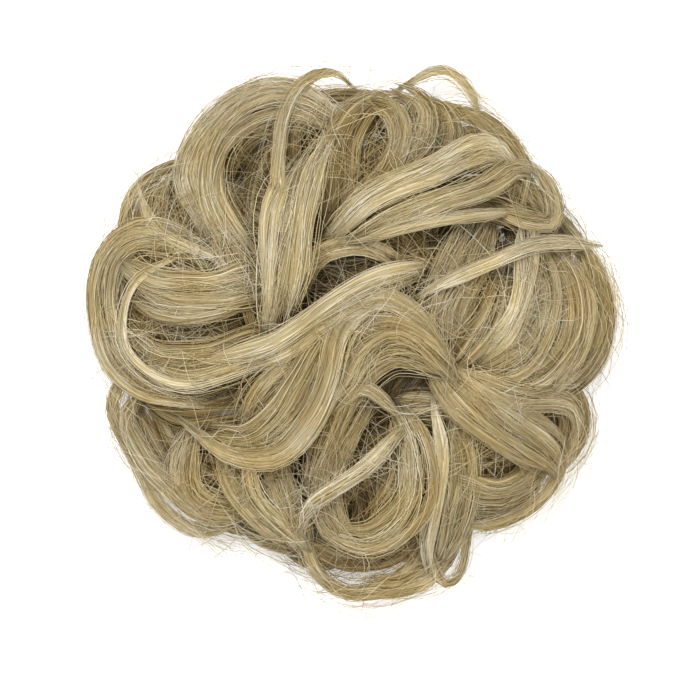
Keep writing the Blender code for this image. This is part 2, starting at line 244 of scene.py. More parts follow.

# Locks from the lowest to the topmost. Width and route are in per cent of BUN_RADIUS, lift in per cent of
# the bun's own height there, and tone runs from 0, the darkest lowlight and painted shade, to 100, the palest
# blonde. Tones differ lock by lock as the fibre's mixed shades do, and the lower locks are also darker than
# the
# top ones: painted shade in the depth of the bun. The locks at the lower left and the bottom are partly paler
# as painted light, where the lamps leave them darker.
LOCKS = [
    # name, width, lift, tone, route
    ("centre_under_upper", 26, 60, 10, ((-42, 22), (-15, 27), (12, 22), (38, 3))),
    ("centre_under_lower", 24, 55, 10, ((-32, -36), (-8, -41), (18, -42), (44, -34))),
    # These two are darker than any fibre: painted shade in the dark hole right of the middle.
    ("hole_back_first", 20, 45, -14, ((0, 0), (10, -9), (20, -20), (30, -30))),
    ("hole_back_second", 16, 50, -14, ((28, 2), (18, -12), (8, -30))),
    ("fill_left_curl", 14, 40, 24, ((-58, 22), (-76, 16), (-84, 2), (-74, -12))),
    ("fill_left_lobe", 12, 40, 26, ((-70, 34), (-86, 30), (-91, 14), (-84, 2))),
    ("fill_crown_left", 18, 50, 34, ((-10, 82), (-28, 85), (-45, 78), (-55, 62))),
    ("fill_crown_top", 11, 50, 42, ((-18, 81), (-8, 85), (3, 85), (12, 82))),
    ("fill_crown_middle", 16, 50, 26, ((-6, 60), (2, 74), (12, 84))),
    ("fill_crown_right", 14, 50, 36, ((24, 62), (39, 70), (54, 75))),
    ("fill_right_top", 11, 60, 46, ((46, 70), (56, 61), (64, 52), (68, 44))),
    ("fill_right_sweep", 14, 60, 26, ((40, 52), (56, 47), (70, 43))),
    ("fill_shoulder", 16, 45, 22, ((-76, 50), (-68, 40), (-56, 30))),
    ("fill_shoulder_top", 16, 45, 26, ((-75, 58), (-68, 51), (-60, 43))),
    ("fill_right_rim", 9, 45, 38, ((60, 62), (72, 50), (82, 38), (89, 22))),
    ("fill_right_lobe", 12, 40, 42, ((70, -14), (80, -23), (83, -34), (78, -44), (68, -49))),
    ("fill_lower_left", 16, 45, 34, ((-81, -22), (-75, -40), (-62, -54), (-42, -60))),
    ("fill_bottom", 13, 45, 44, ((36, -62), (31, -78), (19, -90), (3, -94))),
    ("hollow_top_left", 8, 55, 38, ((-48, 59), (-38, 46), (-23, 41))),
    ("hollow_left", 9, 60, 20, ((-84, 9), (-70, 0), (-53, 1), (-36, 7))),
    ("under_left", 9, 50, 32, ((-84, -21), (-65, -29), (-44, -26), (-25, -18))),
    ("hollow_lower_right", 10, 55, 22, ((25, -26), (42, -37), (59, -47))),
    ("hollow_cross", 14, 50, 26, ((-28, -4), (-12, 4), (4, 10))),
    ("hollow_centre", 9, 50, 8, ((-15, 13), (-4, 25), (11, 23), (25, 13))),
    ("under_centre_right", 10, 65, 28, ((16, 40), (25, 28), (30, 12), (34, -3))),
    ("under_crown", 8, 55, 34, ((-3, 77), (-12, 83), (-22, 79), (-25, 69), (-24, 58))),
    ("under_bottom", 10, 55, 34, ((-19, -76), (-4, -84), (13, -82), (26, -70))),
    ("under_lower_right", 8, 40, 40, ((71, -50), (62, -58), (52, -63), (41, -60))),
    ("shoulder_outer", 7, 60, 40, (
        (-52, 60), (-63, 62), (-73, 57), (-80, 50), (-82, 40), (-80, 31), (-70, 25), (-56, 22),
    )),
    ("shoulder_inner", 6, 55, 34, ((-64, 61), (-73, 53), (-73, 41), (-64, 33))),
    ("lower_left_rim", 7, 60, 60, (
        (-80, -10), (-86, -16), (-90, -27), (-86, -36), (-81, -45), (-77, -54), (-74, -61),
        (-68, -67), (-59, -72), (-51, -72), (-43, -68), (-36, -65),
    )),
    ("lower_left_second", 8, 70, 56, (
        (-79, -22), (-84, -30), (-80, -39), (-75, -48), (-69, -54), (-62, -60), (-54, -65),
        (-46, -65), (-39, -63),
    )),
    ("lower_left_fall", 10, 75, 52, ((-61, -39), (-62, -53), (-55, -63), (-45, -66))),
    ("lower_mid_fall", 10, 75, 55, ((-49, -42), (-38, -60), (-23, -74))),
    ("lower_mid_second", 10, 80, 50, ((-32, -46), (-26, -60), (-20, -74))),
    ("bottom_rim", 5, 50, 56, (
        (-20, -70), (-17, -83), (-10, -92), (-1, -97), (9, -96), (20, -94), (29, -90), (34, -80),
    )),
    ("bottom_right_outer", 7, 50, 54, ((45, -50), (39, -67), (31, -82), (25, -89))),
    ("bottom_right_inner", 10, 70, 50, ((37, -33), (39, -59), (32, -84))),
    ("lower_right_rim", 4, 45, 54, (
        (85, -36), (80, -47), (77, -56), (71, -61), (62, -65), (51, -69), (41, -69),
    )),
    ("lower_right_second", 8, 60, 46, ((74, -43), (65, -53), (53, -58), (41, -54))),
    ("right_rim", 7, 55, 58, ((80, 41), (90, 28), (95, 12), (95, -3), (89, -14), (77, -23), (64, -28))),
    ("right_second", 7, 68, 48, ((83, 36), (89, 20), (90, 4), (84, -12), (71, -21), (55, -22))),
    ("crown_rim", 7, 50, 46, ((16, 83), (32, 84), (46, 82), (55, 74), (63, 62), (61, 50))),
    ("crown_left_outer", 9, 72, 68, (
        (-5, 80), (-15, 89), (-28, 92), (-41, 88), (-52, 80), (-58, 71), (-61, 58), (-54, 40),
    )),
    ("crown_left_inner", 11, 85, 56, (
        (-9, 80), (-23, 86), (-39, 82), (-50, 69), (-52, 52), (-44, 35), (-33, 21),
    )),
    ("centre_left_under", 10, 75, 44, ((-47, 34), (-40, 19), (-36, 4))),
    ("crown_right_back", 9, 70, 44, ((-6, 40), (-4, 56), (-3, 72), (3, 84), (14, 90), (25, 88))),
    ("crown_right_third", 9, 66, 46, ((26, 88), (34, 82), (35, 71), (25, 63))),
    ("crown_right_second", 9, 74, 48, ((15, 93), (26, 85), (26, 72), (17, 61), (6, 53))),
    ("crown_right_first", 9, 80, 52, ((5, 87), (14, 84), (17, 73), (12, 62), (4, 52), (-5, 42))),
    ("left_curl_outer", 11, 72, 58, (
        (-51, 26), (-66, 35), (-80, 37), (-90, 29), (-93, 17), (-92, 4), (-88, -9), (-75, -20),
        (-54, -25),
    )),
    ("left_curl_upper", 10, 85, 60, ((-86, 28), (-70, 19), (-52, 18), (-34, 23))),
    ("left_curl_middle", 9, 85, 52, ((-84, 17), (-68, 11), (-50, 11), (-33, 15))),
    ("left_curl_lower", 9, 82, 48, ((-85, 4), (-73, -6), (-57, -7), (-42, -3), (-27, 2))),
    ("left_curl_bottom", 8, 86, 64, ((-82, -6), (-63, -16), (-41, -11), (-21, -3))),
    ("right_net_outer", 10, 80, 50, ((73, 33), (81, 17), (80, -1), (69, -15), (52, -19))),
    ("right_net_inner", 10, 84, 54, ((67, 32), (71, 13), (64, -6), (47, -14))),
    ("right_fall_wide", 14, 85, 48, ((47, 42), (40, 25), (34, 8), (35, -10))),
    ("right_fall_second", 10, 90, 44, ((57, 29), (50, 8), (37, -9))),
    ("right_fall_bright", 7, 96, 70, ((65, 40), (64, 22), (59, 4), (47, -10))),
    ("pinch_short", 6, 70, 48, ((16, -25), (31, -26), (45, -31))),
    ("pinch_right_upper", 7, 82, 54, (
        (33, -10), (47, -16), (60, -21), (74, -22), (82, -25), (85, -33), (82, -41), (77, -48),
    )),
    ("pinch_right_middle", 8, 85, 58, ((32, -11), (45, -20), (58, -28), (69, -35), (77, -42), (79, -49))),
    ("pinch_right_lower", 10, 85, 50, ((32, -14), (41, -24), (52, -33), (63, -41), (72, -47), (77, -53))),
    ("bottom_curl_left", 9, 80, 50, ((7, -21), (-2, -33), (-8, -47), (-10, -61), (-3, -74), (12, -73))),
    ("bottom_curl_inner", 7, 80, 42, ((18, -33), (16, -51), (8, -67))),
    ("bottom_curl_right", 10, 85, 58, ((17, -29), (23, -42), (24, -57), (17, -69), (5, -76), (-9, -72))),
    ("centre_arch_inner", 9, 92, 45, ((34, -13), (16, -5), (-1, -15), (-10, -33), (-15, -52))),
    ("centre_arch_middle", 10, 97, 45, ((35, -11), (26, -1), (13, 3), (1, -5), (-5, -17), (-12, -29))),
    ("pinch_loop", 5, 90, 46, ((-6, -28), (0, -19), (9, -20), (16, -28))),
    ("centre_swoop_inner", 10, 95, 45, ((-9, -2), (-22, -10), (-34, -21), (-39, -35))),
    ("centre_swoop_middle", 12, 100, 45, (
        (-2, 5), (-11, -6), (-18, -19), (-26, -31), (-38, -39), (-53, -37),
    )),
    ("centre_swoop_edge", 7, 105, 59, (
        (35, -10), (26, 5), (10, 12), (-3, 1), (-7, -17), (-14, -33), (-27, -45), (-45, -43),
        (-60, -33),
    )),
    ("centre_small_loop", 5, 85, 58, ((-20, 15), (-13, 30), (3, 34), (18, 26))),
    ("right_sweep_return", 6, 80, 52, (
        (62, 67), (67, 61), (72, 54), (75, 47), (73, 41), (63, 42), (49, 47),
    )),
    ("right_sweep_lower", 10, 97, 55, (
        (5, 38), (13, 43), (23, 47), (33, 50), (43, 52), (52, 56), (61, 62), (68, 60),
    )),
    ("right_sweep_upper", 10, 100, 74, (
        (-6, 39), (4, 49), (16, 56), (29, 61), (42, 67), (53, 69), (61, 61),
    )),
    ("centre_fall_left", 8, 100, 66, ((-19, 66), (-28, 47), (-30, 26), (-31, 4))),
    ("centre_fall_right", 10, 100, 66, ((-8, 77), (-18, 45), (-25, 12))),
    ("top_tendril", 5, 90, 60, (
        (1, 92), (-8, 99), (-19, 94), (-25, 83), (-28, 70), (-29, 58), (-28, 45),
    )),
    ("top_right_tendril", 3, 60, 56, (
        (15, 92), (23, 96), (30, 99), (36, 99), (41, 95), (45, 88), (47, 77),
    )),
    ("right_cross", 4, 100, 70, ((93, 34), (70, 35), (48, 27), (28, 16))),
    ("centre_cross_second", 3, 102, 62, ((25, 23), (7, 14), (-10, 3), (-26, -9), (-45, -16))),
    ("centre_cross", 4, 106, 68, ((32, 27), (9, 20), (-12, 9), (-32, -4), (-55, -10))),
    ("left_wisp", 2, 92, 66, ((-61, 31), (-81, 19), (-84, -4), (-66, -18), (-42, -15))),
    ("shoulder_wisp", 2, 80, 76, ((-81, 58), (-71, 38), (-51, 28))),
    ("bottom_diagonal", 5, 100, 70, ((19, -35), (8, -46), (-5, -55), (-17, -65), (-21, -80))),
    ("bottom_right_fall", 5, 80, 74, ((31, -28), (33, -41), (32, -53), (30, -65), (28, -78), (29, -90))),
    ("bottom_right_hook", 2, 60, 60, (
        (29, -77), (31, -87), (34, -92), (38, -91), (41, -86), (43, -78), (46, -69),
    )),
    ("lower_mid_wisp", 4, 85, 66, ((-40, -47), (-37, -58), (-30, -69), (-21, -77))),
    ("right_pale_line", 3, 85, 76, ((83, 28), (88, 13), (86, -3), (78, -17))),
    ("sweep_thin", 3, 100, 62, ((2, 36), (29, 42), (57, 46))),
]

# Hollows where single hairs cross like a net. Place and size are in per cent of BUN_RADIUS.
HOLLOWS = [
    # across, up, half width, half height, hairs
    (-66, 46, 12, 14, 60),  # shoulder
    (-68, 2, 18, 10, 70),  # left curl
    (-36, 62, 10, 20, 51),  # top left
    (-14, 70, 12, 12, 39),  # crown middle
    (16, 72, 22, 16, 60),  # crown right
    (-6, 14, 22, 12, 66),  # centre top
    (26, 24, 16, 22, 60),  # centre right
    (74, 4, 16, 24, 106),  # right net
    (56, 6, 16, 24, 60),  # right inner
    (50, -40, 22, 12, 66),  # lower right
    (2, -50, 18, 20, 66),  # bottom curl
    (6, -84, 22, 8, 45),  # bottom
    (-50, -52, 22, 18, 66),  # lower left
    (-24, -58, 14, 18, 45),  # lower mid
    (10, -18, 18, 12, 12),  # centre
    (-48, 30, 24, 14, 51),  # left top
]


def linear(hex_colour):
    """An sRGB hex colour as linear RGBA."""
    parts = [int(hex_colour[i : i + 2], 16) / 255 for i in (0, 2, 4)]
    return (*[c / 12.92 if c <= 0.04045 else ((c + 0.055) / 1.055) ** 2.4 for c in parts], 1.0)


def add_node(tree, kind, settings=None, **links):
    """Adds a shader node, sets its properties and values, and links sockets given as sockets."""
    node = tree.nodes.new(kind)
    for key, value in (settings or {}).items():
        if key.startswith("in_"):
            node.inputs[int(key[3:])].default_value = value
        else:
            setattr(node, key, value)
    for key, socket in links.items():
        tree.links.new(socket, node.inputs[int(key[3:])])
    return node


def ramp(tree, factor, stops):
    """A colour ramp through (position, hex colour) stops."""
    node = add_node(tree, "ShaderNodeValToRGB", in_0=factor)
    band = node.color_ramp
    while len(band.elements) < len(stops):
        band.elements.new(1.0)
    for element, (position, colour) in zip(band.elements, stops):
        element.position = position
        element.color = linear(colour)
    return node.outputs[0]


def spline(points, count):
    """Even points along a Catmull-Rom curve through all the given ones."""
    knots = np.array(points, float)
    knots = np.vstack([2 * knots[0] - knots[1], knots, 2 * knots[-1] - knots[-2]])
    t = np.linspace(0, 1, CURVE_SAMPLES, endpoint=False)[:, None]
    pieces = [
        0.5 * (2 * b + (c - a) * t + (2 * a - 5 * b + 4 * c - d) * t**2 + (3 * b - 3 * c + d - a) * t**3)
        for a, b, c, d in zip(knots[:-3], knots[1:-2], knots[2:-1], knots[3:])
    ]
    dense = np.vstack(pieces + [knots[-2:-1]])
    along = np.r_[0, np.cumsum(np.linalg.norm(np.diff(dense, axis=0), axis=1))]
    even = np.linspace(0, along[-1], count)
    return np.stack([np.interp(even, along, dense[:, axis]) for axis in range(dense.shape[1])], axis=1)


def bun_height(radius):
    """Height of the bun's upper surface: a dip in the middle, a crown at CROWN_AT and a fall to the rim.

    The dip follows a squared sine and the fall a cosine to the power FALL_POWER.
    """
    share = radius / BUN_RADIUS
    rise = np.sin(np.clip(share / CROWN_AT, 0, 1) * math.pi / 2) ** 2
    fall = np.cos(np.clip((share - CROWN_AT) / (1 - CROWN_AT), 0, 1) * math.pi / 2) ** FALL_POWER
    inside = CENTRE_HEIGHT + (CROWN_HEIGHT - CENTRE_HEIGHT) * rise
    outside = RIM_HEIGHT + (CROWN_HEIGHT - RIM_HEIGHT) * fall
    return np.where(share < CROWN_AT, inside, outside)


def bun_slope(radius):
    """How fast that surface rises outwards, kept within SLOPE_RANGE."""
    rise = bun_height(radius + CELL) - bun_height(radius - CELL)
    return np.clip(rise / (2 * CELL), *SLOPE_RANGE)


class HairMap:
    """The height of the topmost thing in each small square, seen from the front."""

    def __init__(self):
        side = int(2 * MAP_HALF / CELL)
        x, y = np.meshgrid(*[(np.arange(side) + 0.5) * CELL - MAP_HALF] * 2, indexing="ij")
        flat = FLAT_UNDERSIDE_SHARE * FAN_REACH
        reach = np.clip((np.hypot(x, y) - flat) / (BUN_RADIUS - flat), 0, UNDERSIDE_FARTHEST)
        self.top = RIM_UNDERSIDE * reach**UNDERSIDE_POWER
        self.hair = np.zeros(self.top.shape, bool)
        off_ring = np.hypot(x - RING_CENTRE[0], y - RING_CENTRE[1])
        elastic_outer = PONYTAIL_HOLE_RADIUS + ELASTIC_WIDTH
        self.top[off_ring < elastic_outer + WEFT_WIDTH] = WEFT_HEIGHT
        self.top[off_ring < elastic_outer] = PONYTAIL_ROOM

    def cells(self, x, y):
        last = len(self.top) - 1
        column = np.clip(((x + MAP_HALF) / CELL).astype(int), 0, last)
        row = np.clip(((y + MAP_HALF) / CELL).astype(int), 0, last)
        return column, row

    def lay(self, x, y, z):
        """Raises the squares to z where they are lower, and marks them as hair."""
        column, row = self.cells(x, y)
        np.maximum.at(self.top, (column, row), z)
        self.hair[column, row] = True

    def at(self, x, y):
        return self.top[self.cells(x, y)]

    def hair_at(self, x, y):
        return self.hair[self.cells(x, y)]

    def blanket(self, reach):
        """The heights raised to the highest within reach squares each way, then softened over as many."""
        high = self.top
        for blend in (np.max, np.mean):
            for axis in (0, 1):
                high = blend([np.roll(high, k, axis) for k in range(-reach, reach + 1)], axis=0)
        return high


def smooth(values, rounds):
    """Values along the last axis, softened by a one-two-one average, with their ends kept."""
    for _ in range(rounds):
        inner = 0.25 * values[..., :-2] + 0.5 * values[..., 1:-1] + 0.25 * values[..., 2:]
        values = np.concatenate([values[..., :1], inner, values[..., -1:]], axis=-1)
    return values


def wave(rng, count, steps, lowest, highest):
    """Slow random waves from about -1 to 1, one row each: three sines along s with random phases.

    The first makes from lowest to highest turns, and each later one twice as many.
    """
    s = np.linspace(0, 1, steps)
    total = np.zeros((count, steps))
    for share in WAVE_SHARES:
        turns = rng.uniform(lowest, highest, (count, 1))
        total += share * np.sin(2 * math.pi * (turns * s + rng.uniform(0, 1, (count, 1))))
        lowest, highest = lowest * 2, highest * 2
    return total


def normalised(vectors):
    return vectors / np.maximum(np.linalg.norm(vectors, axis=-1, keepdims=True), 1e-12)


def tubes(points, half_width, half_height, sides, up=None):
    """Closed tubes along rows of points: point + side cos(a) half_width + up sin(a) half_height.

    The angle a goes round the tube. points is (tubes, steps, 3) and the half sizes are (tubes, steps).
    Each end is closed by a flat face.
    """
    count, steps = points.shape[:2]
    along = normalised(np.gradient(points, axis=1))
    if up is None:
        up = np.broadcast_to(NEARLY_UP, points.shape)
    side = normalised(np.cross(along, up))
    up = np.cross(side, along)
    angle = 2 * math.pi * np.arange(sides) / sides - math.pi / 2
    ring = (
        points[:, :, None]
        + side[:, :, None] * (np.cos(angle) * half_width[..., None])[..., None]
        + up[:, :, None] * (np.sin(angle) * half_height[..., None])[..., None]
    )
    ring[..., 2] = np.maximum(ring[..., 2], 0.0)
    first = (np.arange(count) * steps * sides)[:, None, None]
    step = (np.arange(steps - 1) * sides)[None, :, None]
    here = np.arange(sides)[None, None, :]
    after = (here + 1) % sides
    low = first + step
    quads = np.stack([low + here, low + sides + here, low + sides + after, low + after], axis=-1)
    start = first[:, 0] + here[0]
    end = first[:, 0] + (steps - 1) * sides + here[0, :, ::-1]
    return ring.reshape(-1, 3), quads.reshape(-1, 4), np.concatenate([start, end]).reshape(-1, sides)


def strip_map(count, steps, sides):
    """Each tube's own upright strip of the unit square: across by its side, up by its step."""
    margin = 0.1
    edges = np.arange(sides + 1) / sides
    low = (np.arange(count) + margin / 2) / count
    wide = (1 - margin) / count
    u = low[:, None, None, None] + wide * np.stack([edges[:-1], edges[:-1], edges[1:], edges[1:]], axis=-1)
    up = np.linspace(0.01, 0.99, steps)
    v = np.stack([up[:-1], up[1:], up[1:], up[:-1]], axis=-1)[None, :, None]
    shape = (count, steps - 1, sides, 4)
    quads = np.stack([np.broadcast_to(u, shape), np.broadcast_to(v, shape)], axis=-1).reshape(-1, 2)
    caps_u = np.repeat(low + wide / 2, sides)
    ends = [np.stack([caps_u, np.full(count * sides, edge)], axis=1) for edge in (up[0], up[-1])]
    return quads, np.concatenate(ends)


class Bundle:
    """Gathers tubes with their tone, then makes one mesh object of them."""

    def __init__(self):
        self.vertices = []
        self.faces = []
        self.places = []
        self.values = {label: [] for label in POINT_VALUES}

    def add(self, points, half_width, half_height, sides, tone, core, up=None):
        """tone is (tubes, steps); core is 1 for a wisp's own body and 0 for a single strand.

        lie holds, for the streaks, metres around the tube, metres along it, and a number of the tube's own.
        """
        count, steps = points.shape[:2]
        vertices, *faces = tubes(points, half_width, half_height, sides, up)
        step = np.linalg.norm(np.diff(points, axis=1), axis=2)
        along = np.concatenate([np.zeros((count, 1)), np.cumsum(step, axis=1)], axis=1)[..., None]
        around = np.arange(sides) / sides * 2 * (half_width.max() + half_height.max())
        own = TUBE_OFFSET * np.arange(count)[:, None, None] + PART_OFFSET * len(self.vertices)
        lie = [np.broadcast_to(part, (count, steps, sides)).reshape(-1) for part in (around, along, own)]
        tones = np.broadcast_to(tone, (count, steps)).reshape(-1)
        first = sum(len(part) for part in self.vertices)
        self.vertices.append(vertices)
        self.faces += [part + first for part in faces]
        self.places += strip_map(count, steps, sides)
        self.values["tone"].append(np.repeat(tones, sides))
        self.values["lie"].append(np.stack(lie, axis=-1))
        self.values["core"].append(np.full(len(vertices), float(core)))

    def make(self, name, material):
        vertices = np.concatenate(self.vertices) + np.r_[MIDDLE, 0]
        corners = np.concatenate([part.reshape(-1) for part in self.faces])
        sizes = np.concatenate([np.full(len(part), part.shape[1]) for part in self.faces])
        mesh = bpy.data.meshes.new(name)
        mesh.vertices.add(len(vertices))
        mesh.vertices.foreach_set("co", vertices.astype(np.float32).reshape(-1))
        mesh.loops.add(len(corners))
        mesh.loops.foreach_set("vertex_index", corners.astype(np.int32))
        mesh.polygons.add(len(sizes))
        mesh.polygons.foreach_set("loop_start", (np.cumsum(sizes) - sizes).astype(np.int32))
        mesh.polygons.foreach_set("use_smooth", np.ones(len(sizes), bool))
        layer = mesh.uv_layers.new(name="OFBake")
        layer.data.foreach_set("uv", np.concatenate(self.places).astype(np.float32).reshape(-1))
        for label, (kind, field) in POINT_VALUES.items():
            attribute = mesh.attributes.new(label, kind, "POINT")
            values = np.concatenate(self.values[label])
            attribute.data.foreach_set(field, values.astype(np.float32).reshape(-1))
        mesh.update()
        mesh.validate()
        mesh.materials.append(material)
        piece = bpy.data.objects.new(name, mesh)
        bpy.context.scene.collection.objects.link(piece)
        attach(piece, "root")
        return piece


def calc(tree, operation, *values):
    """A maths node's result from its inputs in order, each a number or another node's socket."""
    node = add_node(tree, "ShaderNodeMath", {"operation": operation})
    for place, value in zip(node.inputs, values):
        if isinstance(value, bpy.types.NodeSocket):
            tree.links.new(value, place)
        else:
            place.default_value = value
    return node.outputs[0]


def noise(tree, where, scale, detail, roughness=0.5):
    """A noise texture's grey value, which lies about one half."""
    settings = {"in_2": scale, "in_3": detail, "in_4": roughness}
    return add_node(tree, "ShaderNodeTexNoise", settings, in_0=where).outputs[0]


def new_material(name, values):
    """A material with its node tree and its surface, whose inputs are set by name."""
    material = bpy.data.materials.new(name)
    material.use_nodes = True
    surface = material.node_tree.nodes["Principled BSDF"]
    for key, value in values.items():
        surface.inputs[key].default_value = value
    return material, material.node_tree, surface


def synthetic_fibre():
    """Modacrylic wig fibre, spun, heat-set and dyed in mixed shades, so that single strands differ.

    A wisp's body shows the same fibre closely packed: streaks about 0.3 mm wide that run 90 mm along it.
    Patches a centimetre or two across are a little darker, paler or more golden than the rest.
    """
    looks = {"Roughness": 0.45, "IOR": 1.50, "Specular IOR Level": 0.35}
    material, tree, surface = new_material("modacrylic_fibre_ash_blonde", looks)
    tone, core, lie = (
        add_node(tree, "ShaderNodeAttribute", {"attribute_name": label}).outputs[socket]
        for label, socket in (("tone", "Fac"), ("core", "Fac"), ("lie", "Vector"))
    )
    place = add_node(tree, "ShaderNodeTexCoord").outputs["Object"]
    scale = (1 / STREAK_WIDTH, 1 / STREAK_LENGTH, 1.0)
    stretched = add_node(tree, "ShaderNodeVectorMath", {"operation": "MULTIPLY", "in_1": scale}, in_0=lie)
    streaks = calc(tree, "SUBTRACT", noise(tree, stretched.outputs[0], 1.0, 1.5, 0.6), 0.5)
    patches = calc(tree, "SUBTRACT", noise(tree, place, 1 / PATCH_SIZE, 2.0), 0.5)
    raised = calc(tree, "MULTIPLY", streaks, core)
    streaked = calc(tree, "MULTIPLY_ADD", raised, STREAK_CONTRAST, tone)
    colour = ramp(tree, calc(tree, "MULTIPLY_ADD", patches, PATCH_CONTRAST, streaked), FIBRE_SHADES)
    glow = noise(tree, place, 1 / GOLDEN_PATCH_SIZE, 2.0)
    lowest, highest = GOLDEN_RANGE
    golden = add_node(tree, "ShaderNodeMapRange", {"in_1": lowest, "in_2": highest}, in_0=glow)
    warm = add_node(
        tree, "ShaderNodeMix", {"data_type": "RGBA", "blend_type": "MULTIPLY", "in_7": linear(GOLDEN_TINT)},
        in_0=golden.outputs[0], in_6=colour,
    )
    tree.links.new(warm.outputs[2], surface.inputs["Base Color"])
    return material


def woven_elastic():
    """Covered elastic: rubber cores under knitted polyester yarn, matt, with ribs 1.1 mm apart.

    The ribs are slanting bands of paler and darker colour, 0.9 mm apart up the height of the elastic: painted
    light on their crests and painted shade in their grooves, as the surface itself is smooth.
    """
    material, tree, surface = new_material("covered_elastic_tan", {"Roughness": 0.75})
    place = add_node(tree, "ShaderNodeTexCoord").outputs["Object"]
    split = add_node(tree, "ShaderNodeSeparateXYZ", in_0=place)
    centre = MIDDLE + RING_CENTRE
    x = calc(tree, "SUBTRACT", split.outputs[0], centre[0])
    y = calc(tree, "SUBTRACT", split.outputs[1], centre[1])
    ribs_round = 2 * math.pi * (PONYTAIL_HOLE_RADIUS + ELASTIC_WIDTH / 2) / RIB_SPACING
    ribs = calc(tree, "MULTIPLY", calc(tree, "ARCTAN2", y, x), round(ribs_round))
    rows = calc(tree, "MULTIPLY", split.outputs[2], 2 * math.pi / ROW_SPACING)
    height = calc(tree, "SINE", calc(tree, "ADD", ribs, rows))
    share = calc(tree, "MULTIPLY_ADD", height, 0.5, 0.5)
    # The elastic's own tan, paler on the ribs' crests and darker between them: painted light and painted
    # shade of the ribs.
    tree.links.new(ramp(tree, share, [(0.0, "8a744c"), (1.0, "c0a878")]), surface.inputs["Base Color"])
    return material


def strand_tones(rng, count, tone):
    """One tone for each strand: most near the lock's own, some darker ones, partly golden lowlights and
    partly painted shade in the thin gaps between strands, and some pale highlights.
    """
    tones = tone / 100 + TONE_LIFT + rng.normal(0, TONE_SPREAD, count)
    kind = rng.uniform(0, 1, count)
    tones = np.where(kind < LOWLIGHT_AND_GAP_SHADE_SHARE, tones - LOWLIGHT_AND_GAP_SHADE_DROP, tones)
    return np.clip(np.where(kind > 1 - HIGHLIGHT_SHARE, tones + HIGHLIGHT_RISE, tones), 0.0, PALEST_STRAND)


def fibre_radii(rng, count, steps, radius):
    """Radii that differ from strand to strand and taper to fine tips."""
    s = np.linspace(0, 1, steps)
    taper = np.clip(np.minimum(s, 1 - s) / FIBRE_TAPER_SHARE, FIBRE_TIP_SHARE, 1)
    return radius * rng.uniform(*RADIUS_RANGE, (count, 1)) * taper


